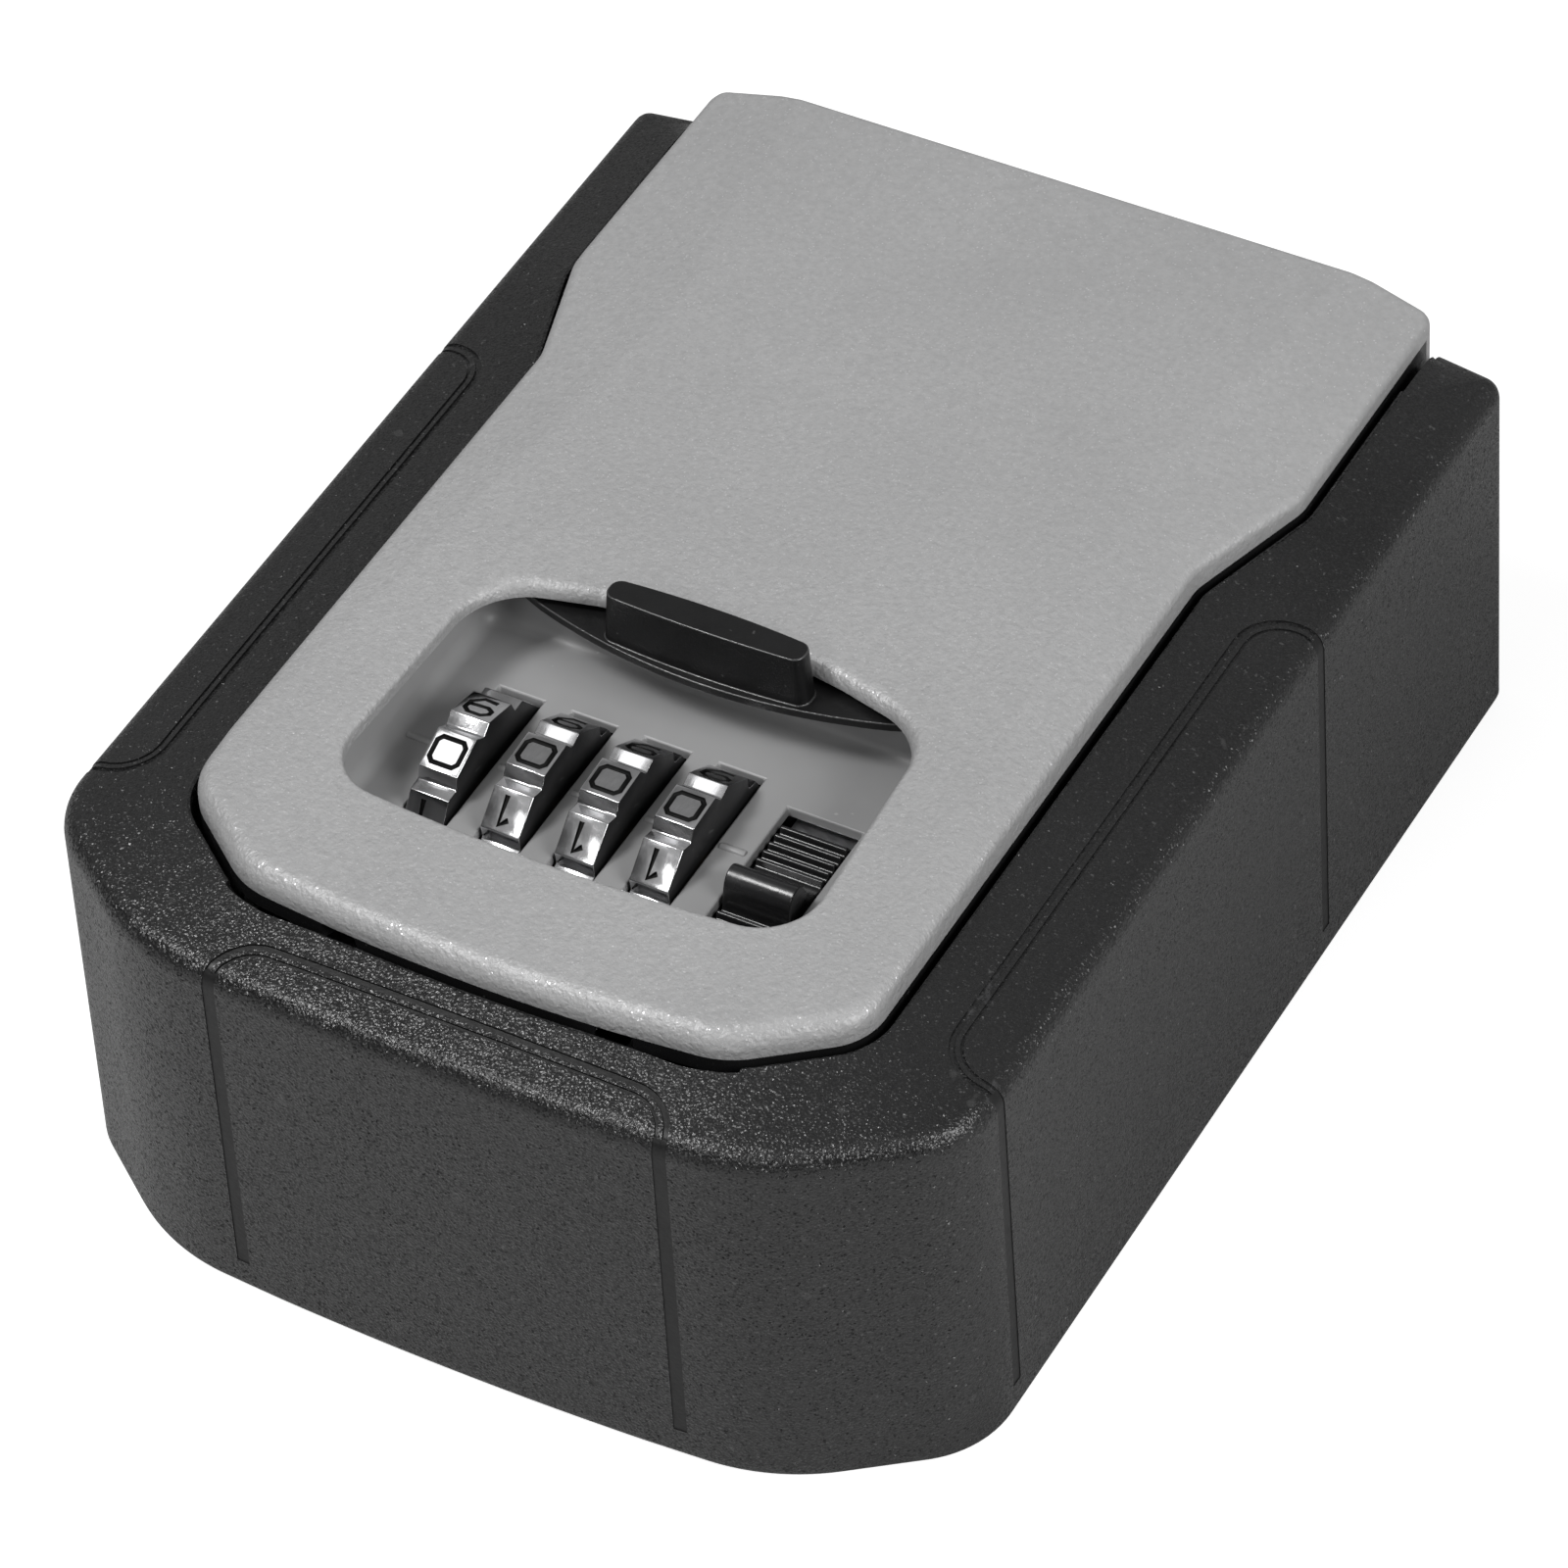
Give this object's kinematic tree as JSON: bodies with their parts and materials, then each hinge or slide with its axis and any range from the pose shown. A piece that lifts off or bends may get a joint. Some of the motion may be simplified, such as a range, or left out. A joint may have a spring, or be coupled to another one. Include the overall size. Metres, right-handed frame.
{
  "type": "wall-mounted combination key safe",
  "caption": "Wall-mounted key safe: black housing with a hinged grey front, chrome number dials in a shuttered window, a sliding release lever and a compartment for keys.",
  "frame": {"origin": "centre of the rear face that lies on the wall", "axes": "+Z out of the wall toward the user, +Y toward the upper end, +X to the right seen from the front"},
  "size_m": [0.0912, 0.12, 0.047],
  "materials": {
    "black_shell": "fine spark texture",
    "black_slide": "gloss",
    "front_paint": "fine pebbled grey paint",
    "tray_paint": "satin grey",
    "dial_plate_grey": "smooth satin",
    "inner_plastic": "satin",
    "dial_chrome": "polished",
    "steel": "zinc plated",
    "brass": "as stamped"
  },
  "bodies": {
    "housing": {"outer_shell": "black_shell", "inner_tray": "tray_paint", "hinge_pin": "steel", "strike_plate": "steel", "strike_screw_1": "steel", "strike_screw_2": "steel", "key_hook": "steel", "housing_screw_1": "steel", "housing_screw_2": "steel", "housing_screw_3": "steel", "housing_screw_4": "steel"},
    "door": {"front_cover": "front_paint", "dial_plate": "dial_plate_grey", "mechanism_cover": "inner_plastic", "dial_shaft": "steel", "detent_comb": "brass", "latch_spring": "steel", "cover_screw_1": "steel", "cover_screw_2": "steel", "cover_screw_3": "steel", "cover_screw_4": "steel"},
    "shutter": {"shutter": "black_shell"},
    "latch": {"release_lever": "black_slide", "latch_plate": "steel"},
    "code_change": {"code_lever": "inner_plastic"},
    "dial_1": {"dial_wheel_1": "dial_chrome", "code_sleeve_1": "brass"},
    "dial_2": {"dial_wheel_2": "dial_chrome", "code_sleeve_2": "brass"},
    "dial_3": {"dial_wheel_3": "dial_chrome", "code_sleeve_3": "brass"},
    "dial_4": {"dial_wheel_4": "dial_chrome", "code_sleeve_4": "brass"}
  },
  "joints": [
    {"name": "door_hinge", "type": "hinge", "parent": "housing", "child": "door", "pos_m": [0, -0.049, 0.0412], "axis": [1, 0, 0], "range_deg": [0, 90]},
    {"name": "shutter_slide", "type": "slide", "parent": "door", "child": "shutter", "axis": [0, -1, 0], "range_m": [0, 0.0263]},
    {"name": "latch_slide", "type": "slide", "parent": "door", "child": "latch", "axis": [0, -1, 0], "range_m": [0, 0.004], "stiffness_N_per_m": 400, "springref_m": -0.004, "deforming": ["latch_spring"]},
    {"name": "code_lever_turn", "type": "hinge", "parent": "door", "child": "code_change", "pos_m": [-0.018, 0.004, 0.029], "axis": [0, 0, 1], "range_deg": [0, 90]},
    {"name": "dial_1_turn", "type": "hinge", "parent": "door", "child": "dial_1", "pos_m": [-0.01668, -0.0237, 0.0311], "axis": [1, 0, 0], "continuous": true},
    {"name": "dial_2_turn", "type": "hinge", "parent": "door", "child": "dial_2", "pos_m": [-0.00925, -0.0237, 0.0311], "axis": [1, 0, 0], "continuous": true},
    {"name": "dial_3_turn", "type": "hinge", "parent": "door", "child": "dial_3", "pos_m": [-0.00182, -0.0237, 0.0311], "axis": [1, 0, 0], "continuous": true},
    {"name": "dial_4_turn", "type": "hinge", "parent": "door", "child": "dial_4", "pos_m": [0.00561, -0.0237, 0.0311], "axis": [1, 0, 0], "continuous": true}
  ]
}
